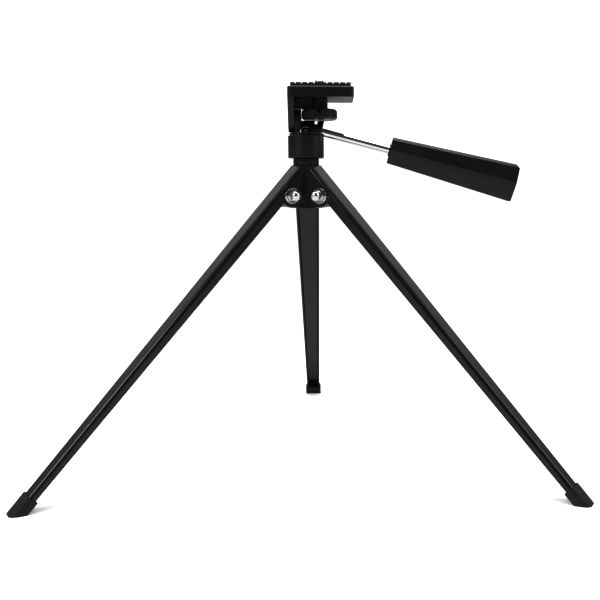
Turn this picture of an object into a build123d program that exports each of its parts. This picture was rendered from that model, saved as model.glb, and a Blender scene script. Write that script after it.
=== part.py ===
from build123d import *
from math import cos, hypot, radians, sin, tan
import os

# A table-top tripod with a pan-and-tilt head. Millimetres, +Z up, standing on Z = 0.
# The origin is under the middle of the overall box; the pan axis stands at Y = axis_y.

# ---- driving sizes ---------------------------------------------------------
running = 0.05            # radial clearance of a shaft that turns in its hole
gap = 0.3                 # clearance beside a part that moves past another

# legs
leg_azimuths = {"left": 210, "right": 330, "back": 90}
splay = 42.8              # leg from vertical, degrees
pivot_height = 181.4
pivot_radius = 15.4       # pan axis to leg pivot
web_offset = 8.4          # leg pivot to the outside of the leg's web
sheet = 1.2               # leg sheet thickness
leg_width = 16.2          # at the pivot
leg_foot_width = 10.9
leg_depth = 7.5           # flange height at the pivot
leg_foot_depth = 4.8
leg_corner = 2.7
lobe_radius = 7.4         # rounded flange around the pivot
taper_run = 17.0          # how far the leg keeps its full width below the pivot
leg_head_radius = 7.9     # pan axis to the sawn-off top of the leg
cap_wall = 1.2
cap_length = 14.0         # up the leg, along its web
toe_cover = 2.4           # rubber under the end of the leg

# leg pivots
pivot_bolt_radius = 2.0
washer_radius = 5.1
washer_thickness = 1.0
nut_flats = 7.0
nut_hex_height = 3.2
nut_dome_radius = 3.2
nut_barrel = 1.6          # straight part between the hexagon and the dome
blind_thread = 5.2
bolt_head_radius = 3.8
bolt_head_height = 2.3
bolt_head_round = 1.4
bolt_socket = 1.45        # middle to corner of the hexagon
bolt_socket_depth = 1.3
glide_thickness = 0.4     # nylon washer between lug and flange
glide_radius = 4.7
lug_crown = 5.2           # half width of the lug where it meets the web
lug_relief = 0.7          # lug edges kept clear of the web's inside corners

# hub
hub_core_radius = 8.0
hub_drop = 8.1            # bottom of the hub below the leg pivots
hub_neck_rise = 20.5      # bottom of the round neck above the leg pivots
hub_neck_height = 4.2
hub_neck_radius = 8.6
hub_round = 0.5

# pan collar and its post
collar_radius = 11.9
pan_glide_thickness = 0.3
collar_height = 15.4
collar_chamfer = 1.0
collar_round = 0.5
post_radius = 3.3
post_thread_radius = 2.7
post_thread_length = 18.0
post_thread_chamfer = 0.6
post_crown = 4.8          # post above the collar
post_round = 2.3          # edge of the crown
ring_thickness = 0.8
ring_groove = 0.5
ring_reach = 2.0          # ring below the top of the collar
ring_mouth = 3.4          # opening of the ring
wave_thickness = 0.6
well_radius = 5.8         # counterbore in the collar for the ring
washer_inset = 0.6        # nylon washers inside the edge they lie on
collar_screw_circle = 7.9
collar_screw_radius = 1.25
collar_screw_head = 2.1
collar_screw_cone = 1.0
collar_screw_socket = 0.85
collar_socket_depth = 0.7
collar_screw_length = 7.0
collar_hole_spare = 0.8   # hole below the screw's end

# pan block
foot_radius = 10.9
foot_thickness = 1.1
ear_thickness = 4.0
tilt_washer = 0.4
tilt_radius = 7.7         # rounded end of the ear
lug_radius = 7.2
tilt_clear = 0.5          # ear above the block's foot
tilt_screw_radius = 2.0
tilt_head_radius = 3.5
tilt_head_height = 1.8
tilt_wave = 0.4           # spring washer under the head
tilt_wave_radius = 3.4
tilt_head_chamfer = 0.3
tilt_head_sink = 0.1      # head below the ear's face
tilt_sink_clear = 0.2     # sunk hole beside the head
tilt_socket = 1.5         # middle to corner of the hexagon
tilt_socket_depth = 1.1
tilt_hole_floor = 0.6     # lug left beyond the screw's end
ridge_half_width = 0.5
ridge_shoulder = 5.8
ridge_clear = 0.5         # ridge below the thumbwheel
ridge_foot = 2.4          # upright part of the ridge's sides
slit_width = 1.8
slit_from_face = 5.0      # middle of the slit to the block's outer face
slit_depth = 3.7

# platform
plate_left = -11.4
plate_length = 43.0
plate_half_depth = 18.0
plate_thickness = 6.8
plate_corner = 2.5
ear_root = 1.0            # ear's outline starts this far up inside the platform
plate_rise = 13.7         # underside of the platform above the tilt axis
pad_margin = 1.9
pad_thickness = 2.5
pad_corner = 1.9
rib_count = 10
rib_gap = 1.5
rib_height = 0.8
rib_slope = 72            # side of a rib, degrees
plate_chamfer = 0.6
neck_radius = 5.5
neck_length = 6.2
web_half = 3.6            # half thickness of the web between the ear and the neck

# camera screw and thumbwheel
screw_shift = 1.0         # screw left of the platform's middle
screw_radius = 3.175      # 1/4 inch
screw_stand = 3.1         # above the pad
screw_chamfer = 0.6
thread_relief = 0.35      # plain part between the thread and the shank
shank_radius = 2.7
wheel_radius = 11.8
wheel_thickness = 6.7
wheel_chamfer = 1.1
wheel_floor = 0.8         # wheel left below the shank
knurl_count = 44
knurl_depth = 0.35
clip_thickness = 0.7
clip_radius = 4.6
clip_groove = 0.5
clip_mouth = 3.1          # opening of the clip
set_screw_radius = 1.2
set_screw_drop = 2.0      # below the top of the wheel
set_screw_length = 5.0
set_screw_socket = 0.75
set_screw_socket_depth = 1.2

# handle
handle_slope = 14.5       # degrees below level
handle_start_radius = 11.5  # pan axis to the point where the rod height is given
handle_rise = 1.55        # rod's middle above the collar's top, at that point
rod_radius = 2.75
rod_thread_radius = 2.5
rod_step = 0.4            # full diameter starts this far out of the block
rod_chamfer = 0.5
rod_hole_spare = 1.8      # thread past the edge of the post's pocket
face_radius = 10.4        # pan axis to the block's outer face, on the rod
slug_length = 1.3
slug_radius = 1.9
slug_cup = 0.25           # pad's hollow for the post
grip_start = 47.4         # along the rod, from the block's outer face
grip_length = 87.3
grip_front = (13.0, 17.4)   # width, height
grip_back = (17.0, 25.1)
grip_chamfer = 2.4        # top edge at the far end
grip_bevel = 2.0          # height of the bevel beside the top
grip_round = 0.6
rod_in_grip = 42.0
ferrule_radius = 4.0
ferrule_length = 0.8
rod_relief = 5.0          # length of the hollow for the rod in the collar's rim, each way

# ---- worked-out places -----------------------------------------------------
sin_splay, cos_splay = sin(radians(splay)), cos(radians(splay))
web_radius = pivot_radius + web_offset * cos_splay
web_height = pivot_height + web_offset * sin_splay
leg_run = web_height / cos_splay            # pivot to ground along the web
sole_outer = web_radius + web_height * sin_splay / cos_splay + cap_wall / cos_splay
cap_half_width = leg_foot_width / 2 + cap_wall
cap_corner = leg_corner + cap_wall
front_angle = radians(leg_azimuths["left"] - 180)
front_corner = hypot(cap_corner / cos_splay * sin(front_angle), cap_corner * cos(front_angle))
front_reach = ((sole_outer - cap_corner / cos_splay) * sin(front_angle)
               + (cap_half_width - cap_corner) * cos(front_angle) + front_corner)
axis_y = -(sole_outer - front_reach) / 2    # puts the front and back feet as far from Y = 0

hub_bottom = pivot_height - hub_drop
hub_neck_bottom = pivot_height + hub_neck_rise
hub_top = hub_neck_bottom + hub_neck_height

collar_bottom = hub_top + pan_glide_thickness
collar_top = collar_bottom + collar_height
foot_top = collar_top + foot_thickness
tilt_height = foot_top + tilt_clear + tilt_radius
post_top = collar_top + post_crown
ring_height = collar_top - ring_reach - ring_thickness
collar_screw_spots = [(0, collar_screw_circle), (0, -collar_screw_circle), (-collar_screw_circle, 0)]

plate_right = plate_left + plate_length
plate_middle = (plate_left + plate_right) / 2
screw_x = plate_middle - screw_shift
plate_bottom = tilt_height + plate_rise
plate_top = plate_bottom + plate_thickness
pad_top = plate_top + pad_thickness
ear_inner = plate_left + ear_thickness
lug_left = ear_inner + tilt_washer
lug_right = screw_x - wheel_radius - gap    # clear of the thumbwheel
lug_thickness = lug_right - lug_left
tilt_head_at = plate_left + tilt_head_sink
wheel_top = plate_bottom - neck_length - gap
wheel_bottom = wheel_top - wheel_thickness
ridge_top = wheel_bottom - ridge_clear
set_screw_height = wheel_top - set_screw_drop
clip_height = plate_top - clip_thickness - gap / 2

sin_rod, cos_rod = sin(radians(handle_slope)), cos(radians(handle_slope))
face_height = collar_top + handle_rise + (handle_start_radius - face_radius) * tan(radians(handle_slope))

slug_run = slug_cup - (face_radius - post_radius) / cos_rod

lug_half = leg_width / 2 - sheet - glide_thickness


# ---- planes ----------------------------------------------------------------
def level(height, x=0, y=0):
    """Horizontal plane, facing up."""
    return Plane((x, axis_y + y, height))


def facing_right(x, height=0):
    """Upright plane facing +X: across is +Y, up is +Z."""
    return Plane((x, axis_y, height), x_dir=(0, 1, 0), z_dir=(1, 0, 0))


def facing_front(y, x=0, height=0):
    """Upright plane facing -Y: across is +X, up is +Z."""
    return Plane((x, axis_y + y, height), x_dir=(1, 0, 0), z_dir=(0, -1, 0))


def leg_directions(azimuth):
    a = radians(azimuth)
    return Vector(cos(a), sin(a), 0), Vector(-sin(a), cos(a), 0)


def leg_side(azimuth, side=0):
    """Upright plane along a leg: across is outwards, up is +Z, facing against the side direction."""
    outward, sideways = leg_directions(azimuth)
    origin = Vector(0, axis_y, 0) + sideways * side
    return Plane(origin, x_dir=outward, z_dir=sideways * -1)


def leg_section(azimuth, run):
    """Plane square to a leg, facing down it: across is sideways, up is out of the web."""
    outward, sideways = leg_directions(azimuth)
    down = outward * sin_splay + Vector(0, 0, -cos_splay)
    foot = Vector(0, axis_y, 0) + outward * web_radius + Vector(0, 0, web_height)
    return Plane(foot + down * run, x_dir=sideways, z_dir=down)


def pivot_plane(azimuth, side):
    """Plane square to a leg's pivot, facing along the side direction."""
    outward, sideways = leg_directions(azimuth)
    origin = Vector(0, axis_y, pivot_height) + outward * pivot_radius + sideways * side
    return Plane(origin, x_dir=outward, z_dir=sideways)


def pivot_end(azimuth, turn, reach):
    """Plane square to a leg's pivot at one end of it, facing away from the leg."""
    plane = pivot_plane(azimuth, turn * reach)
    if turn < 0:
        plane = Plane(plane.origin, x_dir=plane.x_dir, z_dir=plane.z_dir * -1)
    return plane


def plane_axis(plane):
    return Axis(plane.origin, plane.z_dir)


def rod_plane(run):
    """Plane square to the handle rod, facing the grip: up is the grip's upper side."""
    origin = (face_radius + run * cos_rod, axis_y, face_height - run * sin_rod)
    return Plane(origin, x_dir=(0, 1, 0), z_dir=(cos_rod, 0, -sin_rod))


def finish(piece, name):
    piece.part.label = name
    export_step(piece.part, f"parts/{name}.step")


# ---- legs ------------------------------------------------------------------
def width_at(run):
    share = max(0.0, run - taper_run) / (leg_run - taper_run)
    return leg_width + (leg_foot_width - leg_width) * share


def depth_at(run):
    share = max(0.0, run - taper_run) / (leg_run - taper_run)
    return leg_depth + (leg_foot_depth - leg_depth) * share


leg_end_run = leg_run - toe_cover / cos_splay - leg_foot_depth * sin_splay / cos_splay


def channel_outline(azimuth, run, grow=0.0):
    """Outside of the leg's U section, or of the cap when grown."""
    with BuildSketch(leg_section(azimuth, run)) as outline:
        with Locations((0, grow)):
            Rectangle(width_at(run) + 2 * grow, depth_at(run) + 2 * grow, align=(Align.CENTER, Align.MAX))
        fillet(outline.vertices().group_by(Axis.Y)[-1], leg_corner + grow)
    return outline.sketch


def channel_hollow(azimuth, run):
    """Inside of the U section, open towards the pan axis."""
    with BuildSketch(leg_section(azimuth, run)) as hollow:
        with Locations((0, -sheet)):
            Rectangle(width_at(run) - 2 * sheet, depth_at(run) + web_offset, align=(Align.CENTER, Align.MAX))
        fillet(hollow.vertices().group_by(Axis.Y)[-1], leg_corner - sheet)
    return hollow.sketch


def make_channel(azimuth):
    """Pressed-sheet leg: a tapering U with a rounded lobe round the pivot in each flange."""
    head_run = -(web_radius - leg_head_radius) / sin_splay - leg_depth
    outward, sideways = leg_directions(azimuth)
    with BuildPart() as channel:
        extrude(channel_outline(azimuth, taper_run), amount=head_run - taper_run)
        loft([channel_outline(azimuth, taper_run), channel_outline(azimuth, leg_end_run)])
        for side in (leg_width / 2, sheet - leg_width / 2):
            with BuildSketch(leg_side(azimuth, side)):
                with Locations((pivot_radius, pivot_height)):
                    Circle(lobe_radius)
                with BuildLine():
                    Polyline(*lobe_corners(head_run), (pivot_radius, pivot_height), close=True)
                make_face()
            extrude(amount=sheet)
        extrude(channel_hollow(azimuth, taper_run), amount=head_run - taper_run, mode=Mode.SUBTRACT)
        loft([channel_hollow(azimuth, taper_run), channel_hollow(azimuth, leg_end_run)], mode=Mode.SUBTRACT)
        split(bisect_by=Plane(Vector(0, axis_y, 0) + outward * leg_head_radius, z_dir=outward), keep=Keep.TOP)
        with BuildSketch(pivot_plane(azimuth, -leg_width)):
            Circle(pivot_bolt_radius + running)
        extrude(amount=2 * leg_width, mode=Mode.SUBTRACT)
    return channel


def lobe_corners(head_run):
    """Where the lobe meets the flange, out from the pan axis and up, clear of the web's round edge."""
    corners = []
    for run in (head_run, taper_run):
        out = web_radius + run * sin_splay - leg_corner * cos_splay
        up = web_height - run * cos_splay - leg_corner * sin_splay
        corners.append((out, up))
    return corners


def make_cap(azimuth, channel):
    """Rubber shoe over the end of the leg, flat underneath."""
    with BuildPart() as cap:
        top = channel_outline(azimuth, leg_run - cap_length, cap_wall)
        toe = channel_outline(azimuth, leg_run + leg_depth, cap_wall)
        loft([top, toe])
        split(bisect_by=Plane.XY, keep=Keep.TOP)
        add(channel.part, mode=Mode.SUBTRACT)
    return cap


def make_pivot_bolt(azimuth, turn):
    """Button-head bolt: its head is on the side that the turn points away from."""
    head = pivot_end(azimuth, -turn, leg_width / 2 + washer_thickness)
    with BuildPart() as bolt:
        with BuildSketch(head):
            Circle(pivot_bolt_radius)
        extrude(amount=-(leg_width + 2 * washer_thickness + blind_thread))
        with BuildSketch(head):
            Circle(bolt_head_radius)
        extrude(amount=bolt_head_height)
        fillet(bolt.faces().sort_by(plane_axis(head))[-1].edges(), bolt_head_round)
        with BuildSketch(head.offset(bolt_head_height)):
            RegularPolygon(bolt_socket, 6)
        extrude(amount=-bolt_socket_depth, mode=Mode.SUBTRACT)
    return bolt


def make_pivot_nut(azimuth, turn):
    """Domed nut: hexagon, then a hemisphere, with a blind thread."""
    seat = pivot_end(azimuth, turn, leg_width / 2 + washer_thickness)
    upright = Plane(seat.origin, x_dir=seat.x_dir, z_dir=seat.y_dir * -1)
    shoulder = nut_hex_height + nut_barrel
    with BuildPart() as nut:
        with BuildSketch(seat):
            RegularPolygon(nut_flats / 2 / cos(radians(30)), 6)
        extrude(amount=nut_hex_height)
        with BuildSketch(upright):
            with BuildLine():
                Line((0, 0), (nut_dome_radius, 0))
                Line((nut_dome_radius, 0), (nut_dome_radius, shoulder))
                CenterArc((0, shoulder), nut_dome_radius, 0, 90)
                Line((0, shoulder + nut_dome_radius), (0, 0))
            make_face()
        revolve(axis=plane_axis(seat))
        with BuildSketch(seat):
            Circle(pivot_bolt_radius)
        extrude(amount=blind_thread, mode=Mode.SUBTRACT)
    return nut


def make_rings(azimuth, inner, outer, thickness, sides):
    """Flat rings on a leg's pivot, one from each starting side."""
    with BuildPart() as rings:
        for side in sides:
            with BuildSketch(pivot_plane(azimuth, side)):
                Circle(outer)
                Circle(inner, mode=Mode.SUBTRACT)
            extrude(amount=thickness)
    return rings


# ---- hub and post ----------------------------------------------------------
def lug_outline(azimuth, half, stop):
    """One leg lug in side view: its sloping top faces the leg's web, 'stop' from the pivot."""
    out = pivot_radius + stop * cos_splay
    up = pivot_height + stop * sin_splay
    head = out - (hub_neck_bottom - up) / cos_splay * sin_splay
    under = pivot_height - stop
    with BuildSketch(leg_side(azimuth, half)) as outline:
        with BuildLine():
            Polyline((0, hub_bottom), (hub_core_radius, hub_bottom), (pivot_radius, under), (out, up),
                     (head, hub_neck_bottom), (0, hub_neck_bottom), close=True)
        make_face()
        with Locations((pivot_radius, pivot_height)):
            Circle(stop)
    return outline.sketch


def web_slot(azimuth, half, stop):
    """The space the leg's web closes into, above the lug."""
    out = pivot_radius + stop * cos_splay
    up = pivot_height + stop * sin_splay
    head = out - (hub_neck_bottom - up) / cos_splay * sin_splay
    with BuildSketch(leg_side(azimuth, half)) as slot:
        with BuildLine():
            Polyline((out, up), (head, hub_neck_bottom), (out, hub_neck_bottom), close=True)
        make_face()
    return slot.sketch


def make_hub():
    """Cast centre with a lug for each leg and a round neck on top."""
    stop = web_offset - sheet - running
    slot_half = leg_width / 2 + gap
    with BuildPart() as hub:
        with BuildSketch(level(hub_bottom)):
            Circle(hub_core_radius)
        extrude(amount=hub_neck_bottom - hub_bottom)
        for azimuth in leg_azimuths.values():
            extrude(web_slot(azimuth, slot_half, stop), amount=2 * slot_half, mode=Mode.SUBTRACT)
        for azimuth in leg_azimuths.values():
            extrude(lug_outline(azimuth, lug_half, stop - lug_relief), amount=2 * lug_half)
            extrude(lug_outline(azimuth, lug_crown, stop), amount=2 * lug_crown)
        for azimuth in leg_azimuths.values():
            with BuildSketch(pivot_plane(azimuth, -lug_half)):
                Circle(pivot_bolt_radius + running)
            extrude(amount=2 * lug_half, mode=Mode.SUBTRACT)
        with BuildSketch(level(hub_neck_bottom)):
            Circle(hub_neck_radius)
        extrude(amount=hub_top - hub_neck_bottom)
        fillet(hub.edges().filter_by(GeomType.CIRCLE).group_by(Axis.Z)[-1], hub_round)
        with BuildSketch(level(hub_top)):
            Circle(post_thread_radius)
        extrude(amount=-post_thread_length, mode=Mode.SUBTRACT)
    return hub


def make_post():
    """Bright post the head pans on: threaded below, grooved for a ring, domed on top."""
    with BuildPart() as post:
        with BuildSketch(level(hub_top)):
            Circle(post_thread_radius)
        extrude(amount=-post_thread_length)
        chamfer(post.edges().group_by(Axis.Z)[0], post_thread_chamfer)
        with BuildSketch(level(hub_top)):
            Circle(post_radius)
        extrude(amount=post_top - hub_top)
        fillet(post.edges().group_by(Axis.Z)[-1], post_round)
        with BuildSketch(level(ring_height)):
            Circle(post_radius + gap)
            Circle(post_radius - ring_groove, mode=Mode.SUBTRACT)
        extrude(amount=ring_thickness, mode=Mode.SUBTRACT)
    return post


def make_retaining_ring():
    """Open ring snapped into the post's groove."""
    with BuildPart() as ring:
        with BuildSketch(level(ring_height)):
            Circle(well_radius - gap)
            Circle(post_radius - ring_groove, mode=Mode.SUBTRACT)
            with Locations((0, well_radius / 2)):
                Rectangle(ring_mouth, well_radius, mode=Mode.SUBTRACT)
        extrude(amount=ring_thickness)
    return ring


def make_flat_ring(bottom, inner, outer, thickness):
    with BuildPart() as ring:
        with BuildSketch(level(bottom)):
            Circle(outer)
            Circle(inner, mode=Mode.SUBTRACT)
        extrude(amount=thickness)
    return ring


def make_collar():
    """Round collar that turns on the post."""
    with BuildPart() as collar:
        with BuildSketch(level(collar_bottom)):
            Circle(collar_radius)
        extrude(amount=collar_height)
        chamfer(collar.edges().group_by(Axis.Z)[-1], collar_chamfer)
        fillet(collar.edges().group_by(Axis.Z)[0], collar_round)
        with BuildSketch(level(collar_bottom)):
            Circle(post_radius + running)
        extrude(amount=collar_height, mode=Mode.SUBTRACT)
        with BuildSketch(level(collar_top)):
            Circle(well_radius)
        extrude(amount=ring_height - wave_thickness - collar_top, mode=Mode.SUBTRACT)
        with BuildSketch(level(collar_top)):
            with Locations(*collar_screw_spots):
                Circle(collar_screw_radius)
        extrude(amount=-collar_screw_length, mode=Mode.SUBTRACT)
        with BuildSketch(rod_plane(0)):
            Circle(rod_radius + gap)
        extrude(amount=rod_relief, both=True, mode=Mode.SUBTRACT)
    return collar


def countersunk_shapes(length):
    """Screw bodies from the top of the block's foot down, with their cone heads."""
    with BuildPart() as bodies:
        with BuildSketch(level(foot_top)):
            with Locations(*collar_screw_spots):
                Circle(collar_screw_radius)
        extrude(amount=-length)
        for x, y in collar_screw_spots:
            with BuildSketch(level(foot_top, x, y)):
                Circle(collar_screw_head)
            with BuildSketch(level(foot_top - collar_screw_cone, x, y)):
                Circle(collar_screw_radius)
            loft()
    return bodies.part


def make_collar_screws():
    """Countersunk screws from the block's foot down into the collar."""
    with BuildPart() as screws:
        add(countersunk_shapes(foot_thickness + collar_screw_length - collar_hole_spare))
        with BuildSketch(level(foot_top)):
            with Locations(*collar_screw_spots):
                RegularPolygon(collar_screw_socket, 6)
        extrude(amount=-collar_socket_depth, mode=Mode.SUBTRACT)
    return screws


# ---- pan block -------------------------------------------------------------
def make_block():
    """Block on the collar: a tilt lug on the left, a split ridge for the handle on the right."""
    arch = post_radius + 2 * gap
    with BuildPart() as block:
        with BuildSketch(level(collar_top)):
            Circle(foot_radius)
        extrude(amount=foot_thickness)
        with BuildSketch(facing_right(lug_left)):
            with Locations((0, tilt_height)):
                Circle(lug_radius)
            with Locations((0, foot_top)):
                Rectangle(2 * lug_radius, tilt_height - foot_top, align=(Align.CENTER, Align.MIN))
        extrude(amount=lug_thickness)
        with BuildSketch(facing_right(lug_right)):
            with BuildLine():
                Polyline((-ridge_shoulder, foot_top), (-ridge_shoulder, foot_top + ridge_foot),
                         (-ridge_half_width, ridge_top), (ridge_half_width, ridge_top),
                         (ridge_shoulder, foot_top + ridge_foot), (ridge_shoulder, foot_top), close=True)
            make_face()
        extrude(amount=face_radius + foot_radius - lug_right)
        split(bisect_by=rod_plane(0), keep=Keep.BOTTOM)
        # pocket round the post's crown, with a way through to the front and back
        with BuildSketch(level(collar_top)):
            Circle(arch)
        extrude(amount=post_crown + gap, mode=Mode.SUBTRACT)
        with BuildSketch(facing_front(-foot_radius, 0, foot_top)):
            Rectangle(2 * arch, post_top - foot_top - arch / 2, align=(Align.CENTER, Align.MIN))
            with Locations((0, post_top - foot_top - arch / 2)):
                Ellipse(arch, arch / 2 + gap)
            Rectangle(3 * arch, 3 * arch, align=(Align.CENTER, Align.MAX), mode=Mode.SUBTRACT)
        extrude(amount=-2 * foot_radius, mode=Mode.SUBTRACT)
        # thread for the handle, square to the outer face
        with BuildSketch(rod_plane(0)):
            Circle(rod_thread_radius + running)
        extrude(amount=-(face_radius - arch) / cos_rod - rod_hole_spare, mode=Mode.SUBTRACT)
        # slit across the ridge
        with BuildSketch(rod_plane(-slit_from_face)):
            with Locations((0, (ridge_top - face_height) / cos_rod + slit_width)):
                Rectangle(4 * ridge_shoulder, slit_depth + slit_width, align=(Align.CENTER, Align.MAX))
        extrude(amount=slit_width / 2, both=True, mode=Mode.SUBTRACT)
        # tilt screw thread
        with BuildSketch(facing_right(lug_left, tilt_height)):
            Circle(tilt_screw_radius)
        extrude(amount=lug_thickness - tilt_hole_floor, mode=Mode.SUBTRACT)
        add(countersunk_shapes(foot_thickness), mode=Mode.SUBTRACT)
    return block


# ---- tilt joint and platform -----------------------------------------------
def make_bracket():
    """Platform with a tilt ear at its left end and a neck under it for the camera screw."""
    with BuildPart() as bracket:
        with BuildSketch(level(plate_bottom, plate_middle)):
            RectangleRounded(plate_length, 2 * plate_half_depth, plate_corner)
        extrude(amount=plate_thickness)
        chamfer(bracket.edges().group_by(Axis.Z)[-1], plate_chamfer)
        with BuildSketch(facing_right(plate_left)):
            with Locations((0, tilt_height)):
                Circle(tilt_radius)
            with BuildLine():
                Polyline((-plate_half_depth + plate_corner, plate_bottom + ear_root),
                         (plate_half_depth - plate_corner, plate_bottom + ear_root),
                         (0, tilt_height), close=True)
            make_face()
            make_hull()
        extrude(amount=ear_thickness)
        with BuildSketch(level(plate_bottom, screw_x)):
            Circle(neck_radius)
        extrude(amount=-neck_length)
        with BuildSketch(level(plate_bottom, ear_inner)):
            Rectangle(screw_x - ear_inner, 2 * web_half, align=(Align.MIN, Align.CENTER))
        extrude(amount=-neck_length)
        with BuildSketch(facing_right(plate_left, tilt_height)):
            Circle(tilt_head_radius + tilt_sink_clear)
        extrude(amount=tilt_head_sink + tilt_head_height + tilt_wave, mode=Mode.SUBTRACT)
        with BuildSketch(facing_right(plate_left, tilt_height)):
            Circle(tilt_screw_radius + running)
        extrude(amount=ear_thickness, mode=Mode.SUBTRACT)
        with BuildSketch(level(plate_top, screw_x)):
            Circle(shank_radius + running)
        extrude(amount=-(plate_thickness + neck_length), mode=Mode.SUBTRACT)
        with BuildSketch(level(plate_top, screw_x)):
            Circle(clip_radius + gap)
        extrude(amount=-(clip_thickness + gap), mode=Mode.SUBTRACT)
    return bracket


def make_pad():
    """Rubber pad with ribs from front to back."""
    length = plate_length - 2 * pad_margin
    depth = 2 * (plate_half_depth - pad_margin)
    pitch = (length + rib_gap) / rib_count
    with BuildPart() as pad:
        with BuildSketch(level(plate_top, plate_middle)):
            RectangleRounded(length, depth, pad_corner)
        extrude(amount=pad_thickness)
        with BuildSketch(facing_front(-plate_half_depth, plate_middle, pad_top)):
            with GridLocations(pitch, 0, rib_count - 1, 1):
                Trapezoid(rib_gap, 2 * rib_height, rib_slope, rotation=180)
        extrude(amount=-2 * plate_half_depth, mode=Mode.SUBTRACT)
        with BuildSketch(level(plate_top, screw_x)):
            Circle(screw_radius + gap)
        extrude(amount=pad_thickness, mode=Mode.SUBTRACT)
        with BuildSketch(level(plate_top, screw_x)):
            Circle(clip_radius + gap)
        extrude(amount=gap, mode=Mode.SUBTRACT)
    return pad


def make_tilt_screw():
    """Screw the ear turns on: head sunk in the ear, thread in the lug."""
    with BuildPart() as screw:
        with BuildSketch(facing_right(tilt_head_at, tilt_height)):
            Circle(tilt_head_radius)
        extrude(amount=tilt_head_height)
        chamfer(screw.edges().group_by(Axis.X)[0], tilt_head_chamfer)
        with BuildSketch(facing_right(tilt_head_at + tilt_head_height, tilt_height)):
            Circle(tilt_screw_radius)
        extrude(amount=lug_right - tilt_hole_floor - tilt_head_at - tilt_head_height)
        with BuildSketch(facing_right(tilt_head_at, tilt_height)):
            RegularPolygon(tilt_socket, 6)
        extrude(amount=tilt_socket_depth, mode=Mode.SUBTRACT)
    return screw


def make_tilt_ring(x, inner, outer, thickness):
    with BuildPart() as ring:
        with BuildSketch(facing_right(x, tilt_height)):
            Circle(outer)
            Circle(inner, mode=Mode.SUBTRACT)
        extrude(amount=thickness)
    return ring


# ---- camera screw and thumbwheel -------------------------------------------
def make_camera_screw():
    """Camera screw: thread above the pad, plain shank down through the platform to the wheel."""
    with BuildPart() as screw:
        with BuildSketch(level(wheel_bottom + wheel_floor, screw_x)):
            Circle(shank_radius)
        extrude(amount=plate_top - wheel_bottom - wheel_floor)
        with BuildSketch(level(plate_top, screw_x)):
            Circle(screw_radius - thread_relief)
        extrude(amount=pad_thickness + running)
        with BuildSketch(level(pad_top + running, screw_x)):
            Circle(screw_radius)
        extrude(amount=screw_stand - running)
        chamfer(screw.edges().group_by(Axis.Z)[-1], screw_chamfer)
        with BuildSketch(level(clip_height, screw_x)):
            Circle(shank_radius + gap)
            Circle(shank_radius - clip_groove, mode=Mode.SUBTRACT)
        extrude(amount=clip_thickness, mode=Mode.SUBTRACT)
    return screw


def make_clip():
    """Open clip that holds the camera screw in the platform."""
    with BuildPart() as clip:
        with BuildSketch(level(clip_height, screw_x)):
            Circle(clip_radius)
            Circle(shank_radius - clip_groove, mode=Mode.SUBTRACT)
            with Locations((0, clip_radius / 2)):
                Rectangle(clip_mouth, clip_radius, mode=Mode.SUBTRACT)
        extrude(amount=clip_thickness)
    return clip


def make_thumbwheel():
    """Knurled wheel fixed on the camera screw."""
    with BuildPart() as wheel:
        with BuildSketch(level(wheel_bottom, screw_x)):
            Circle(wheel_radius)
        extrude(amount=wheel_thickness)
        chamfer(wheel.edges(), wheel_chamfer)
        with BuildSketch(level(wheel_bottom, screw_x)):
            with PolarLocations(wheel_radius, knurl_count):
                Rectangle(knurl_depth * 2, knurl_depth * 2, rotation=45)
        extrude(amount=wheel_thickness, mode=Mode.SUBTRACT)
        with BuildSketch(level(wheel_bottom + wheel_floor, screw_x)):
            Circle(shank_radius)
        extrude(amount=wheel_thickness, mode=Mode.SUBTRACT)
        with BuildSketch(facing_front(0, screw_x, set_screw_height)):
            Circle(set_screw_radius)
        extrude(amount=wheel_radius, mode=Mode.SUBTRACT)
    return wheel


def make_set_screw():
    """Headless screw through the wheel's side onto the shank."""
    with BuildPart() as screw:
        with BuildSketch(facing_front(-shank_radius, screw_x, set_screw_height)):
            Circle(set_screw_radius)
        extrude(amount=set_screw_length)
        with BuildSketch(facing_front(-shank_radius - set_screw_length, screw_x, set_screw_height)):
            RegularPolygon(set_screw_socket, 6)
        extrude(amount=-set_screw_socket_depth, mode=Mode.SUBTRACT)
    return screw


# ---- handle ----------------------------------------------------------------
def make_slug():
    """Soft brake pad between the rod's tip and the post."""
    with BuildPart() as slug:
        with BuildSketch(rod_plane(slug_run + slug_length)):
            Circle(slug_radius)
        extrude(amount=-slug_length - post_radius)
        with BuildSketch(level(collar_top)):
            Circle(post_radius)
        extrude(amount=2 * tilt_radius, mode=Mode.SUBTRACT)
        with BuildSketch(level(collar_top, -post_radius)):
            Rectangle(2 * post_radius, 4 * post_radius)
        extrude(amount=2 * tilt_radius, mode=Mode.SUBTRACT)
    return slug


def make_rod():
    """Bright rod: threaded tip in the block, plain length, plain end inside the grip."""
    with BuildPart() as rod:
        with BuildSketch(rod_plane(slug_run + slug_length)):
            Circle(rod_thread_radius)
        extrude(amount=rod_step - slug_run - slug_length)
        with BuildSketch(rod_plane(rod_step)):
            Circle(rod_radius)
        extrude(amount=grip_start - rod_step + rod_in_grip)
        chamfer(rod.edges().group_by(Axis.X)[-1], rod_chamfer)
    return rod


def grip_section(run, size):
    """Eight-sided grip section: narrow top, ridge at mid-height, narrower below."""
    width, height = size
    half, up = width / 2, height / 2
    top = (0.42 * half, up)
    bevel = (0.68 * half, up - grip_bevel)
    ridge = (half, 0.04 * up)
    belly = (0.9 * half, -0.3 * up)
    bottom = (0.5 * half, -up)
    side = [top, bevel, ridge, belly, bottom]
    with BuildSketch(rod_plane(run)) as section:
        with BuildLine():
            Polyline(*side, *[(-x, y) for x, y in reversed(side)], close=True)
        make_face()
        fillet(section.vertices(), grip_round)
    return section.sketch


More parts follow.
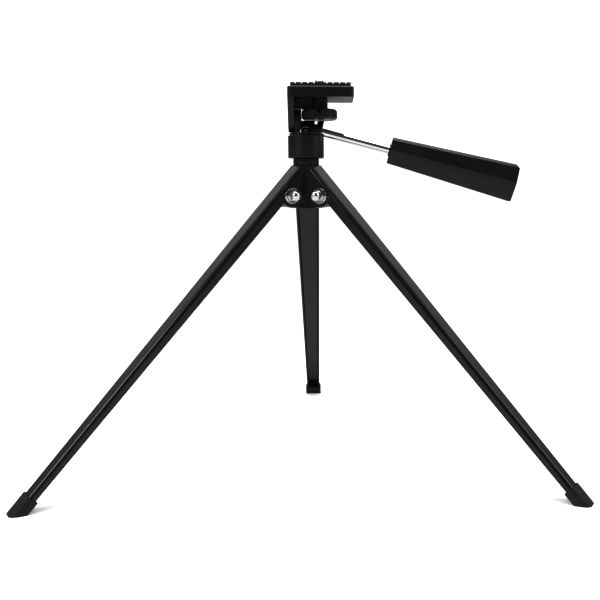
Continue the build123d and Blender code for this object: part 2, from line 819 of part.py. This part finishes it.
def make_grip():
    """Faceted grip, deeper and wider towards its far end."""
    top = grip_back[1] / 2
    with BuildPart() as grip:
        loft([grip_section(grip_start, grip_front), grip_section(grip_start + grip_length, grip_back)])
        corner = rod_plane(grip_start + grip_length)
        with BuildSketch(Plane(corner.origin, x_dir=corner.z_dir, z_dir=corner.x_dir * -1)):
            with BuildLine():
                Polyline((-grip_chamfer, top), (0, top - grip_chamfer), (grip_chamfer, top), close=True)
            make_face()
        extrude(amount=grip_back[0], both=True, mode=Mode.SUBTRACT)
        with BuildSketch(rod_plane(grip_start)):
            Circle(rod_radius)
        extrude(amount=rod_in_grip, mode=Mode.SUBTRACT)
    return grip


def make_ferrule():
    """Collar where the rod enters the grip."""
    with BuildPart() as ferrule:
        with BuildSketch(rod_plane(grip_start - ferrule_length)):
            Circle(ferrule_radius)
            Circle(rod_radius, mode=Mode.SUBTRACT)
        extrude(amount=ferrule_length)
    return ferrule


# ---- build -----------------------------------------------------------------
os.makedirs("parts", exist_ok=True)

nut_turns = {"left": 1, "right": -1, "back": 1}
flange = leg_width / 2
for leg, azimuth in leg_azimuths.items():
    turn = nut_turns[leg]
    channel = make_channel(azimuth)
    finish(channel, f"{leg}_leg_channel")
    finish(make_cap(azimuth, channel), f"{leg}_foot_cap")
    finish(make_pivot_bolt(azimuth, turn), f"{leg}_pivot_bolt")
    finish(make_pivot_nut(azimuth, turn), f"{leg}_pivot_nut")
    washers = make_rings(azimuth, pivot_bolt_radius + running, washer_radius, washer_thickness,
                         (flange, -flange - washer_thickness))
    finish(washers, f"{leg}_pivot_washers")
    glides = make_rings(azimuth, pivot_bolt_radius + running, glide_radius, glide_thickness,
                        (lug_half, -lug_half - glide_thickness))
    finish(glides, f"{leg}_pivot_glides")

finish(make_hub(), "hub")
finish(make_post(), "pan_post")
finish(make_retaining_ring(), "pan_retaining_ring")
finish(make_flat_ring(ring_height - wave_thickness, post_radius + running, well_radius - gap, wave_thickness),
       "pan_spring_washer")
finish(make_flat_ring(hub_top, post_radius + running, hub_neck_radius - washer_inset,
                      pan_glide_thickness), "pan_glide_washer")
finish(make_collar(), "pan_collar")
finish(make_collar_screws(), "collar_screws")
finish(make_block(), "pan_block")

finish(make_bracket(), "tilt_bracket")
finish(make_pad(), "camera_pad")
finish(make_tilt_screw(), "tilt_screw")
finish(make_tilt_ring(tilt_head_at + tilt_head_height, tilt_screw_radius + running, tilt_wave_radius,
                      tilt_wave), "tilt_spring_washer")
finish(make_tilt_ring(ear_inner, tilt_screw_radius + running, tilt_radius - washer_inset, tilt_washer),
       "tilt_friction_washer")

finish(make_camera_screw(), "camera_screw")
finish(make_clip(), "screw_clip")
finish(make_thumbwheel(), "thumbwheel")
finish(make_set_screw(), "wheel_set_screw")

finish(make_rod(), "handle_rod")
finish(make_slug(), "brake_slug")
finish(make_ferrule(), "grip_ferrule")
finish(make_grip(), "grip")
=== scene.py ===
import math

import bpy
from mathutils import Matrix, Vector


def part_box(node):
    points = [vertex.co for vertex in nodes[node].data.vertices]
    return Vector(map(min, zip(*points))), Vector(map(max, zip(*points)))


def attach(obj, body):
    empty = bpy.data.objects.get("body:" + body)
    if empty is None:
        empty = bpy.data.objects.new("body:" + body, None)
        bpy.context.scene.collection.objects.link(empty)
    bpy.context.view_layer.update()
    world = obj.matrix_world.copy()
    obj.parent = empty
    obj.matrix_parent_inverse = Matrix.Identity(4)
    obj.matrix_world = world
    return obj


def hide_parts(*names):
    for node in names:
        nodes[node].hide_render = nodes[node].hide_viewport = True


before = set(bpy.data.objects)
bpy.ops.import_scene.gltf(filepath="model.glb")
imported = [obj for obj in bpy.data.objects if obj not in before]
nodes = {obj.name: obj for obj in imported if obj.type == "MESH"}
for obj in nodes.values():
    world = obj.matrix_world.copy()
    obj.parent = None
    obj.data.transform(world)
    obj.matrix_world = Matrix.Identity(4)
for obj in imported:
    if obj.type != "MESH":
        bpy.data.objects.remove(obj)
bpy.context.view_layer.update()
postLow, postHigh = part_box("pan_post")
panAxis = (postLow + postHigh) / 2
print("frame loaded,", len(nodes), "nodes")


# camera: metres from the pan axis, degrees
cameraPlace = {
    "right": 0.0145,
    "front": 0.5555,
    "height": 0.1814,
    "pitch": 82.746,
    "turn": -2.678,
    "lens": 49.01,
    "shift": -0.1109,
    "sensor": 36,
    "near": 0.01,
    "far": 60,
}


def makeCamera(place):
    data = bpy.data.cameras.new("viewCamera")
    data.lens = place["lens"]
    data.sensor_width = place["sensor"]
    data.shift_x = place["shift"]
    data.clip_start = place["near"]
    data.clip_end = place["far"]
    camera = bpy.data.objects.new("viewCamera", data)
    camera.location = (panAxis.x + place["right"], panAxis.y - place["front"], place["height"])
    camera.rotation_euler = (math.radians(place["pitch"]), 0, math.radians(place["turn"]))
    bpy.context.scene.collection.objects.link(camera)
    bpy.context.scene.camera = camera


makeCamera(cameraPlace)
print("camera placed")


# node helpers
def addNode(tree, kind, **settings):
    node = tree.nodes.new(kind)
    for name, value in settings.items():
        setattr(node, name, value)
    return node


def plug(tree, socket, value):
    if isinstance(value, bpy.types.NodeSocket):
        tree.links.new(value, socket)
    else:
        socket.default_value = value


def addMath(tree, operation, first, second=0.0, clamp=False):
    node = addNode(tree, "ShaderNodeMath", operation=operation, use_clamp=clamp)
    plug(tree, node.inputs[0], first)
    plug(tree, node.inputs[1], second)
    return node.outputs[0]


def mixColours(tree, share, first, second):
    node = addNode(tree, "ShaderNodeMix", data_type="RGBA")
    plug(tree, node.inputs["Factor"], share)
    plug(tree, node.inputs["A"], first)
    plug(tree, node.inputs["B"], second)
    return node.outputs["Result"]


def remap(tree, value, low, high, newLow, newHigh):
    node = addNode(tree, "ShaderNodeMapRange", clamp=True)
    for socket, number in zip(node.inputs, (value, low, high, newLow, newHigh)):
        plug(tree, socket, number)
    return node.outputs[0]


def newGroup(name, inputs, outputs):
    group = bpy.data.node_groups.new(name, "ShaderNodeTree")
    for label, number in inputs.items():
        socket = group.interface.new_socket(label, in_out="INPUT", socket_type="NodeSocketFloat")
        socket.default_value = number
    for label, kind in outputs.items():
        group.interface.new_socket(label, in_out="OUTPUT", socket_type=kind)
    start = addNode(group, "NodeGroupInput")
    end = addNode(group, "NodeGroupOutput")
    return group, start.outputs, end.inputs


def placeGroup(tree, group, values):
    node = addNode(tree, "ShaderNodeGroup", node_tree=group)
    for label, number in values.items():
        node.inputs[label].default_value = number
    return node.outputs


# worn edges: a mask where the surface turns sharply, and a normal that rounds the edge
wearPattern = {
    "flat": 0.985,          # cosine of the turn where wear begins
    "sharp": 0.82,          # and where it is full
    "patchDetail": 4,
    "patchRange": (0.38, 0.62),
    "patchFloor": 0.1,      # wear left between the patches
    "bevelSamples": 6,
}


def makeEdgeWear(pattern):
    tree, given, result = newGroup(
        "edgeWear",
        {"Width": 0.0004, "Amount": 0.5, "Breakup": 900.0},
        {"Mask": "NodeSocketFloat", "Normal": "NodeSocketVector"},
    )
    bevel = addNode(tree, "ShaderNodeBevel", samples=pattern["bevelSamples"])
    tree.links.new(given["Width"], bevel.inputs["Radius"])
    surface = addNode(tree, "ShaderNodeNewGeometry")
    turn = addNode(tree, "ShaderNodeVectorMath", operation="DOT_PRODUCT")
    tree.links.new(bevel.outputs["Normal"], turn.inputs[0])
    tree.links.new(surface.outputs["Normal"], turn.inputs[1])
    edge = remap(tree, turn.outputs["Value"], pattern["flat"], pattern["sharp"], 0.0, 1.0)
    place = addNode(tree, "ShaderNodeTexCoord")
    breakup = addNode(tree, "ShaderNodeTexNoise")
    breakup.inputs["Detail"].default_value = pattern["patchDetail"]
    tree.links.new(place.outputs["Object"], breakup.inputs["Vector"])
    tree.links.new(given["Breakup"], breakup.inputs["Scale"])
    patches = remap(tree, breakup.outputs["Fac"], *pattern["patchRange"], pattern["patchFloor"], 1.0)
    mask = addMath(tree, "MULTIPLY", edge, patches)
    tree.links.new(addMath(tree, "MULTIPLY", mask, given["Amount"], clamp=True), result["Mask"])
    tree.links.new(bevel.outputs["Normal"], result["Normal"])
    return tree


# grain: fine height and a slow change of tone
grainPattern = {
    "fineDetail": 3,
    "slowDetail": 5,
    "toneRange": (0.3, 0.7),
}


def makeGrain(pattern):
    tree, given, result = newGroup(
        "surfaceGrain",
        {"Grain Scale": 3000.0, "Tone Scale": 90.0, "Softness": 0.5},
        {"Height": "NodeSocketFloat", "Tone": "NodeSocketFloat"},
    )
    place = addNode(tree, "ShaderNodeTexCoord")
    fine = addNode(tree, "ShaderNodeTexNoise")
    fine.inputs["Detail"].default_value = pattern["fineDetail"]
    slow = addNode(tree, "ShaderNodeTexNoise")
    slow.inputs["Detail"].default_value = pattern["slowDetail"]
    for noise, scale in ((fine, "Grain Scale"), (slow, "Tone Scale")):
        tree.links.new(place.outputs["Object"], noise.inputs["Vector"])
        tree.links.new(given[scale], noise.inputs["Scale"])
    tree.links.new(given["Softness"], fine.inputs["Roughness"])
    tree.links.new(fine.outputs["Fac"], result["Height"])
    tree.links.new(remap(tree, slow.outputs["Fac"], *pattern["toneRange"], 0.0, 1.0), result["Tone"])
    return tree


# handling marks: where fingers and dust leave the gloss duller
markPattern = {
    "detail": 6,
    "swirl": 0.8,
    "speckScale": 25.0,     # specks to each cloud
    "cloudRange": (0.42, 0.7),
    "speckRange": (0.16, 0.05),
}


def makeMarks(pattern):
    tree, given, result = newGroup(
        "handlingMarks",
        {"Scale": 60.0, "Amount": 0.5},
        {"Mask": "NodeSocketFloat"},
    )
    place = addNode(tree, "ShaderNodeTexCoord")
    broad = addNode(tree, "ShaderNodeTexNoise")
    broad.inputs["Detail"].default_value = pattern["detail"]
    broad.inputs["Distortion"].default_value = pattern["swirl"]
    specks = addNode(tree, "ShaderNodeTexVoronoi")
    tree.links.new(place.outputs["Object"], broad.inputs["Vector"])
    tree.links.new(given["Scale"], broad.inputs["Scale"])
    tree.links.new(place.outputs["Object"], specks.inputs["Vector"])
    speckScale = addMath(tree, "MULTIPLY", given["Scale"], pattern["speckScale"])
    tree.links.new(speckScale, specks.inputs["Scale"])
    cloud = remap(tree, broad.outputs["Fac"], *pattern["cloudRange"], 0.0, 1.0)
    dots = remap(tree, specks.outputs["Distance"], *pattern["speckRange"], 0.0, 1.0)
    both = addMath(tree, "MAXIMUM", cloud, addMath(tree, "MULTIPLY", dots, cloud))
    tree.links.new(addMath(tree, "MULTIPLY", both, given["Amount"], clamp=True), result["Mask"])
    return tree


# fine lines left by turning or polishing, close together in Z and long across it
linePattern = {
    "detail": 2,
    "scratchRange": (0.5, 0.72),
}


def makePolishLines(pattern):
    tree, given, result = newGroup(
        "polishLines",
        {"Across": 6000.0, "Along": 300.0},
        {"Height": "NodeSocketFloat", "Mask": "NodeSocketFloat"},
    )
    place = addNode(tree, "ShaderNodeTexCoord")
    parts = addNode(tree, "ShaderNodeSeparateXYZ")
    tree.links.new(place.outputs["Object"], parts.inputs[0])
    stretched = addNode(tree, "ShaderNodeCombineXYZ")
    for axis, scale in (("X", "Along"), ("Y", "Along"), ("Z", "Across")):
        scaled = addMath(tree, "MULTIPLY", parts.outputs[axis], given[scale])
        tree.links.new(scaled, stretched.inputs[axis])
    lines = addNode(tree, "ShaderNodeTexNoise")
    lines.inputs["Scale"].default_value = 1
    lines.inputs["Detail"].default_value = pattern["detail"]
    tree.links.new(stretched.outputs[0], lines.inputs["Vector"])
    tree.links.new(lines.outputs["Fac"], result["Height"])
    tree.links.new(remap(tree, lines.outputs["Fac"], *pattern["scratchRange"], 0.0, 1.0), result["Mask"])
    return tree


# crevices: painted shade, a mask where two surfaces meet closely and little light reaches, which darkens the
# colour there
creviceShadePattern = {
    "samples": 8,
    "openRange": (0.85, 0.45),
}


def makePaintedCreviceShade(pattern):
    tree, given, result = newGroup(
        "paintedCreviceShade",
        {"Reach": 0.0012, "Amount": 0.8},
        {"Mask": "NodeSocketFloat"},
    )
    closeness = addNode(tree, "ShaderNodeAmbientOcclusion", samples=pattern["samples"])
    tree.links.new(given["Reach"], closeness.inputs["Distance"])
    hidden = remap(tree, closeness.outputs["AO"], *pattern["openRange"], 0.0, 1.0)
    tree.links.new(addMath(tree, "MULTIPLY", hidden, given["Amount"], clamp=True), result["Mask"])
    return tree


edgeWear = makeEdgeWear(wearPattern)
surfaceGrain = makeGrain(grainPattern)
handlingMarks = makeMarks(markPattern)
polishLines = makePolishLines(linePattern)
paintedCreviceShade = makePaintedCreviceShade(creviceShadePattern)
print("shader groups made")


def newMaterial(name):
    material = bpy.data.materials.new(name)
    material.use_nodes = True
    tree = material.node_tree
    return material, tree, tree.nodes["Principled BSDF"]


def rounded(tree, shader, edge, height, strength, depth):
    bump = addNode(tree, "ShaderNodeBump")
    bump.inputs["Strength"].default_value = strength
    bump.inputs["Distance"].default_value = depth
    tree.links.new(height, bump.inputs["Height"])
    tree.links.new(edge["Normal"], bump.inputs["Normal"])
    tree.links.new(bump.outputs["Normal"], shader.inputs["Normal"])


# painted and moulded black finishes
paintShared = {
    "breakup": 900.0,
    "toneScale": 70.0,
    "softness": 0.55,
    "wornDullness": 0.15,
}


def paintFinish(name, look):
    material, tree, shader = newMaterial(name)
    edge = placeGroup(tree, edgeWear, {
        "Width": look["edgeWidth"],
        "Amount": look["edgeWear"],
        "Breakup": paintShared["breakup"],
    })
    grain = placeGroup(tree, surfaceGrain, {
        "Grain Scale": look["grainScale"],
        "Tone Scale": paintShared["toneScale"],
        "Softness": paintShared["softness"],
    })
    marks = placeGroup(tree, handlingMarks, {"Scale": look["markScale"], "Amount": look["marks"]})
    body = mixColours(tree, grain["Tone"], (*look["deep"], 1), (*look["pale"], 1))
    plug(tree, shader.inputs["Base Color"], mixColours(tree, edge["Mask"], body, (*look["worn"], 1)))
    gloss = remap(tree, marks["Mask"], 0.0, 1.0, look["roughness"], look["dullness"])
    worn = addMath(tree, "MULTIPLY", edge["Mask"], paintShared["wornDullness"])
    plug(tree, shader.inputs["Roughness"], addMath(tree, "ADD", gloss, worn, clamp=True))
    shader.inputs["Specular IOR Level"].default_value = look["shine"]
    shader.inputs["Coat Weight"].default_value = look["coat"]
    shader.inputs["Coat Roughness"].default_value = look["coatRoughness"]
    rounded(tree, shader, edge, grain["Height"], look["grain"], look["grainDepth"])
    return material


# bare and plated metals
metalShared = {
    "breakup": 700.0,
}


def metalFinish(name, look):
    material, tree, shader = newMaterial(name)
    edge = placeGroup(tree, edgeWear, {
        "Width": look["edgeWidth"],
        "Amount": look["edgeWear"],
        "Breakup": metalShared["breakup"],
    })
    lines = placeGroup(tree, polishLines, {"Across": look["linesAcross"], "Along": look["linesAlong"]})
    marks = placeGroup(tree, handlingMarks, {"Scale": look["markScale"], "Amount": look["marks"]})
    crevice = placeGroup(tree, paintedCreviceShade, {"Reach": look["crevice"], "Amount": look["creviceShadeAmount"]})
    body = mixColours(tree, marks["Mask"], (*look["colour"], 1), (*look["tarnish"], 1))
    polished = mixColours(tree, edge["Mask"], body, (*look["worn"], 1))
    # painted shade: the colour darkens to near-black in crevices, from the ambient occlusion mask
    plug(tree, shader.inputs["Base Color"], mixColours(tree, crevice["Mask"], polished, (*look["creviceShadeColour"], 1)))
    gloss = remap(tree, marks["Mask"], 0.0, 1.0, look["roughness"], look["dullness"])
    scratched = addMath(tree, "MULTIPLY", lines["Mask"], look["lineDullness"])
    plug(tree, shader.inputs["Roughness"], addMath(tree, "ADD", gloss, scratched, clamp=True))
    shader.inputs["Metallic"].default_value = 1
    rounded(tree, shader, edge, lines["Height"], look["lines"], look["lineDepth"])
    return material


sheetEnamel = {
    "deep": (0.0045, 0.0045, 0.0048),
    "pale": (0.0070, 0.0070, 0.0073),
    "worn": (0.045, 0.044, 0.043),
    "edgeWidth": 0.00035,
    "edgeWear": 0.35,
    "grainScale": 900.0,
    "grain": 0.10,
    "grainDepth": 0.0003,
    "markScale": 45.0,
    "marks": 0.55,
    "roughness": 0.24,
    "dullness": 0.36,
    "shine": 0.5,
    "coat": 0.25,
    "coatRoughness": 0.10,
}

castingPaint = {
    "deep": (0.0042, 0.0042, 0.0045),
    "pale": (0.0064, 0.0064, 0.0067),
    "worn": (0.050, 0.049, 0.048),
    "edgeWidth": 0.00035,
    "edgeWear": 0.40,
    "grainScale": 2600.0,
    "grain": 0.22,
    "grainDepth": 0.00012,
    "markScale": 70.0,
    "marks": 0.6,
    "roughness": 0.36,
    "dullness": 0.48,
    "shine": 0.5,
    "coat": 0.0,
    "coatRoughness": 0.2,
}

gripPlastic = {
    "deep": (0.0045, 0.0045, 0.0048),
    "pale": (0.0068, 0.0068, 0.0071),
    "worn": (0.020, 0.020, 0.021),
    "edgeWidth": 0.0004,
    "edgeWear": 0.25,
    "grainScale": 3800.0,
    "grain": 0.30,
    "grainDepth": 0.00006,
    "markScale": 50.0,
    "marks": 0.6,
    "roughness": 0.34,
    "dullness": 0.46,
    "shine": 0.5,
    "coat": 0.0,
    "coatRoughness": 0.2,
}

wheelPlastic = {
    "deep": (0.0080, 0.0080, 0.0085),
    "pale": (0.0120, 0.0120, 0.0125),
    "worn": (0.030, 0.030, 0.030),
    "edgeWidth": 0.00025,
    "edgeWear": 0.35,
    "grainScale": 3400.0,
    "grain": 0.22,
    "grainDepth": 0.00006,
    "markScale": 110.0,
    "marks": 0.6,
    "roughness": 0.32,
    "dullness": 0.46,
    "shine": 0.5,
    "coat": 0.0,
    "coatRoughness": 0.2,
}

footRubber = {
    "deep": (0.0090, 0.0090, 0.0090),
    "pale": (0.0140, 0.0140, 0.0138),
    "worn": (0.030, 0.030, 0.029),
    "edgeWidth": 0.0006,
    "edgeWear": 0.45,
    "grainScale": 4200.0,
    "grain": 0.35,
    "grainDepth": 0.0001,
    "markScale": 80.0,
    "marks": 0.8,
    "roughness": 0.52,
    "dullness": 0.68,
    "shine": 0.45,
    "coat": 0.0,
    "coatRoughness": 0.2,
}

padRubber = {
    "deep": (0.0085, 0.0085, 0.0085),
    "pale": (0.0130, 0.0130, 0.0128),
    "worn": (0.028, 0.028, 0.027),
    "edgeWidth": 0.0003,
    "edgeWear": 0.40,
    "grainScale": 5200.0,
    "grain": 0.30,
    "grainDepth": 0.00008,
    "markScale": 90.0,
    "marks": 0.7,
    "roughness": 0.58,
    "dullness": 0.72,
    "shine": 0.45,
    "coat": 0.0,
    "coatRoughness": 0.2,
}

screwBlacking = {
    "deep": (0.0100, 0.0100, 0.0105),
    "pale": (0.0180, 0.0175, 0.0170),
    "worn": (0.090, 0.088, 0.085),
    "edgeWidth": 0.0002,
    "edgeWear": 0.60,
    "grainScale": 2600.0,
    "grain": 0.15,
    "grainDepth": 0.00004,
    "markScale": 120.0,
    "marks": 0.6,
    "roughness": 0.34,
    "dullness": 0.50,
    "shine": 0.6,
    "coat": 0.0,
    "coatRoughness": 0.2,
}

nylonWasher = {
    "deep": (0.012, 0.012, 0.012),
    "pale": (0.018, 0.018, 0.018),
    "worn": (0.030, 0.030, 0.030),
    "edgeWidth": 0.0001,
    "edgeWear": 0.3,
    "grainScale": 2200.0,
    "grain": 0.12,
    "grainDepth": 0.00004,
    "markScale": 120.0,
    "marks": 0.6,
    "roughness": 0.42,
    "dullness": 0.58,
    "shine": 0.5,
    "coat": 0.0,
    "coatRoughness": 0.2,
}

hardwareNickel = {
    "colour": (0.84, 0.83, 0.81),
    "tarnish": (0.70, 0.69, 0.67),
    "worn": (0.90, 0.89, 0.86),
    "edgeWidth": 0.00018,
    "edgeWear": 0.5,
    "linesAcross": 5200.0,
    "linesAlong": 260.0,
    "lines": 0.05,
    "lineDepth": 0.00003,
    "lineDullness": 0.04,
    "markScale": 160.0,
    "marks": 0.5,
    "roughness": 0.10,
    "dullness": 0.22,
    # painted shade in crevices: its reach, amount and colour
    "crevice": 0.0014,
    "creviceShadeAmount": 0.85,
    "creviceShadeColour": (0.02, 0.02, 0.02),
}

postChrome = {
    "colour": (0.86, 0.86, 0.87),
    "tarnish": (0.70, 0.70, 0.71),
    "worn": (0.93, 0.93, 0.93),
    "edgeWidth": 0.0002,
    "edgeWear": 0.4,
    "linesAcross": 4200.0,
    "linesAlong": 90.0,
    "lines": 0.04,
    "lineDepth": 0.00003,
    "lineDullness": 0.04,
    "markScale": 130.0,
    "marks": 0.4,
    "roughness": 0.06,
    "dullness": 0.16,
    # painted shade in crevices: its reach, amount and colour
    "crevice": 0.0005,
    "creviceShadeAmount": 0.2,
    "creviceShadeColour": (0.05, 0.05, 0.05),
}

rodChrome = {
    "colour": (0.88, 0.88, 0.89),
    "tarnish": (0.74, 0.74, 0.75),
    "worn": (0.94, 0.94, 0.94),
    "edgeWidth": 0.0002,
    "edgeWear": 0.3,
    "linesAcross": 2600.0,
    "linesAlong": 1300.0,
    "lines": 0.03,
    "lineDepth": 0.00003,
    "lineDullness": 0.04,
    "markScale": 90.0,
    "marks": 0.45,
    "roughness": 0.05,
    "dullness": 0.14,
    # painted shade in crevices: its reach, amount and colour
    "crevice": 0.0008,
    "creviceShadeAmount": 0.4,
    "creviceShadeColour": (0.03, 0.03, 0.03),
}

springSteel = {
    "colour": (0.50, 0.49, 0.48),
    "tarnish": (0.34, 0.32, 0.30),
    "worn": (0.70, 0.69, 0.67),
    "edgeWidth": 0.0001,
    "edgeWear": 0.5,
    "linesAcross": 3600.0,
    "linesAlong": 500.0,
    "lines": 0.08,
    "lineDepth": 0.00003,
    "lineDullness": 0.08,
    "markScale": 150.0,
    "marks": 0.6,
    "roughness": 0.24,
    "dullness": 0.40,
    # painted shade in crevices: its reach, amount and colour
    "crevice": 0.0008,
    "creviceShadeAmount": 0.5,
    "creviceShadeColour": (0.04, 0.04, 0.04),
}

screwSteel = {
    "colour": (0.58, 0.57, 0.55),
    "tarnish": (0.40, 0.385, 0.36),
    "worn": (0.80, 0.79, 0.77),
    "edgeWidth": 0.00012,
    "edgeWear": 0.7,
    "linesAcross": 5200.0,
    "linesAlong": 400.0,
    "lines": 0.08,
    "lineDepth": 0.00003,
    "lineDullness": 0.08,
    "markScale": 220.0,
    "marks": 0.6,
    "roughness": 0.22,
    "dullness": 0.38,
    # painted shade in crevices: its reach, amount and colour
    "crevice": 0.0006,
    "creviceShadeAmount": 0.6,
    "creviceShadeColour": (0.04, 0.038, 0.035),
}

finishes = {
    "black_sheet": paintFinish("sheetEnamel", sheetEnamel),
    "black_casting": paintFinish("castingPaint", castingPaint),
    "grip_plastic": paintFinish("gripPlastic", gripPlastic),
    "wheel_plastic": paintFinish("wheelPlastic", wheelPlastic),
    "foot_rubber": paintFinish("footRubber", footRubber),
    "pad_rubber": paintFinish("padRubber", padRubber),
    "black_screws": paintFinish("screwBlacking", screwBlacking),
    "nylon": paintFinish("nylonWasher", nylonWasher),
    "bright_hardware": metalFinish("hardwareNickel", hardwareNickel),
    "chromed_post": metalFinish("postChrome", postChrome),
    "chromed_rod": metalFinish("rodChrome", rodChrome),
    "spring_steel": metalFinish("springSteel", springSteel),
    "screw_steel": metalFinish("screwSteel", screwSteel),
}

for node in nodes.values():
    for holder in node.material_slots:
        holder.material = finishes[holder.material.name.split(".")[0]]
print("finishes on", len(nodes), "nodes")


# camera screw: a real quarter-inch thread on a plain shank
cameraScrew = {
    "pitch": 0.00127,
    "depth": 0.00062,
    "facets": 96,
    "steps": 20,
    "endTaper": 0.0007,
    "shank": 0.0027,
    "shankBevel": 0.0003,
    "shankGap": 0.0001,     # shank stops this far below the platform's top
    "threadGap": 0.0002,    # and the thread starts this far above it
    "crest": 0.08,          # flat share of each turn
    "flank": 0.80,          # sloping share
    "dish": 0.0001,
    "sharpAngle": 38,
}


# radius of the thread at a height, once round for each pitch
def threadRadius(size, outer, rise, share, fromTop):
    phase = (rise / size["pitch"] - share) % 1
    wave = abs(2 * phase - 1)
    flank = min(1, max(0, (wave - size["crest"]) / size["flank"]))
    radius = outer - size["depth"] * (1 - flank)
    if fromTop < size["endTaper"]:
        radius = min(radius, outer - size["depth"] * (1 - fromTop / size["endTaper"]))
    return radius


def makeCameraScrew(size):
    low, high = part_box("camera_screw")
    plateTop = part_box("camera_pad")[0].z
    outer = (high.x - low.x) / 2
    middle = (low + high) / 2
    threadStart = plateTop + size["threadGap"]
    step = size["pitch"] / size["steps"]
    # heights, each with its radius, or with none in the thread
    rows = [
        (low.z, 0.0),
        (low.z, size["shank"] - size["shankBevel"]),
        (low.z + size["shankBevel"], size["shank"]),
        (plateTop - size["shankGap"], size["shank"]),
    ]
    for index in range(int((high.z - threadStart) / step) + 1):
        rows.append((threadStart + index * step, None))
    rows.append((high.z, None))
    vertices, faces = [], []
    facets = size["facets"]
    for height, fixed in rows:
        for facet in range(facets):
            angle = 2 * math.pi * facet / facets
            radius = fixed
            if radius is None:
                radius = threadRadius(size, outer, height - threadStart, facet / facets, high.z - height)
            x = middle.x + radius * math.cos(angle)
            y = middle.y + radius * math.sin(angle)
            vertices.append((x, y, height))
    for row in range(len(rows) - 1):
        for facet in range(facets):
            here = row * facets + facet
            there = row * facets + (facet + 1) % facets
            faces.append((here, there, there + facets, here + facets))
    top = len(vertices)
    vertices.append((middle.x, middle.y, high.z - size["dish"]))
    last = (len(rows) - 1) * facets
    for facet in range(facets):
        faces.append((last + facet, last + (facet + 1) % facets, top))
    mesh = bpy.data.meshes.new("cameraScrew")
    mesh.from_pydata(vertices, [], faces)
    mesh.validate()
    for face in mesh.polygons:
        face.use_smooth = True
    mesh.set_sharp_from_angle(angle=math.radians(size["sharpAngle"]))
    piece = bpy.data.objects.new("cameraScrew", mesh)
    bpy.context.scene.collection.objects.link(piece)
    piece.data.materials.append(finishes["screw_steel"])
    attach(piece, "screw_and_wheel")
    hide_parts("camera_screw")


makeCameraScrew(cameraScrew)
print("camera screw threaded")


# floor, lights and surroundings
studio = {
    "floorSize": 24.0,
    "floorColour": (0.90, 0.90, 0.90),
    "floorGlare": 0.55,       # how much of the floor the gloss sees
    "floorRoughness": 0.9,
    "floorShine": 0.1,
    "surround": 1.3,
    "skyBack": 0.95,
    "skyFront": 0.10,
    "horizon": 0.03,
    "skyRise": (0.03, 0.50),  # up from the horizon to the full sky
    "skyTurn": (-0.35, 0.35), # from the front to the back
    "contrast": 0.72,
}

# area lamps: place, size and power
lamps = {
    "leftSoftbox": {"place": (-0.75, -0.65, 0.75), "size": (0.5, 0.5), "power": 5.0},
    "rightSoftbox": {"place": (0.85, -0.35, 0.65), "size": (0.4, 0.6), "power": 2.5},
    "topSoftbox": {"place": (0, 0.05, 1.05), "size": (0.9, 0.6), "power": 7.0},
}
lampAim = Vector((0, -0.05, 0.15))


def makeFloor(look):
    half = look["floorSize"] / 2
    mesh = bpy.data.meshes.new("floor")
    corners = [(-half, -half, 0), (half, -half, 0), (half, half, 0), (-half, half, 0)]
    mesh.from_pydata(corners, [], [(0, 1, 2, 3)])
    floor = bpy.data.objects.new("floor", mesh)
    bpy.context.scene.collection.objects.link(floor)
    material, tree, shader = newMaterial("floorPaper")
    shader.inputs["Base Color"].default_value = (*look["floorColour"], 1)
    shader.inputs["Roughness"].default_value = look["floorRoughness"]
    shader.inputs["Specular IOR Level"].default_value = look["floorShine"]
    path = addNode(tree, "ShaderNodeLightPath")
    dim = addNode(tree, "ShaderNodeBsdfDiffuse")
    dimColour = [share * look["floorGlare"] for share in look["floorColour"]]
    dim.inputs["Color"].default_value = (*dimColour, 1)
    choose = addNode(tree, "ShaderNodeMixShader")
    tree.links.new(path.outputs["Is Glossy Ray"], choose.inputs["Fac"])
    tree.links.new(shader.outputs[0], choose.inputs[1])
    tree.links.new(dim.outputs[0], choose.inputs[2])
    tree.links.new(choose.outputs[0], tree.nodes["Material Output"].inputs["Surface"])
    floor.data.materials.append(material)


def makeLamp(name, look):
    data = bpy.data.lights.new(name, "AREA")
    data.shape = "RECTANGLE"
    data.size, data.size_y = look["size"]
    data.energy = look["power"]
    lamp = bpy.data.objects.new(name, data)
    lamp.location = look["place"]
    lamp.rotation_euler = (lampAim - Vector(look["place"])).to_track_quat("-Z", "Y").to_euler()
    bpy.context.scene.collection.objects.link(lamp)


# white to the eye, but the gloss sees a bright back and a dark horizon and front
def makeSurround(look):
    world = bpy.data.worlds.new("surround")
    bpy.context.scene.world = world
    world.use_nodes = True
    tree = world.node_tree
    output = tree.nodes["World Output"]
    plain = tree.nodes["Background"]
    plain.inputs["Color"].default_value = (1, 1, 1, 1)
    plain.inputs["Strength"].default_value = look["surround"]
    direction = addNode(tree, "ShaderNodeTexCoord")
    parts = addNode(tree, "ShaderNodeSeparateXYZ")
    tree.links.new(direction.outputs["Generated"], parts.inputs[0])
    rise = remap(tree, parts.outputs["Z"], *look["skyRise"], 0.0, 1.0)
    behind = remap(tree, parts.outputs["Y"], *look["skyTurn"], look["skyFront"], look["skyBack"])
    glow = addMath(tree, "ADD", addMath(tree, "MULTIPLY", rise, behind), look["horizon"])
    seen = addNode(tree, "ShaderNodeBackground")
    tree.links.new(glow, seen.inputs["Strength"])
    path = addNode(tree, "ShaderNodeLightPath")
    choose = addNode(tree, "ShaderNodeMixShader")
    tree.links.new(path.outputs["Is Glossy Ray"], choose.inputs["Fac"])
    tree.links.new(plain.outputs[0], choose.inputs[1])
    tree.links.new(seen.outputs[0], choose.inputs[2])
    tree.links.new(choose.outputs[0], output.inputs["Surface"])


makeFloor(studio)
for lampName, lampLook in lamps.items():
    makeLamp(lampName, lampLook)
makeSurround(studio)
bpy.context.scene.view_settings.view_transform = "Standard"
bpy.context.scene.view_settings.gamma = studio["contrast"]
print("studio lit")
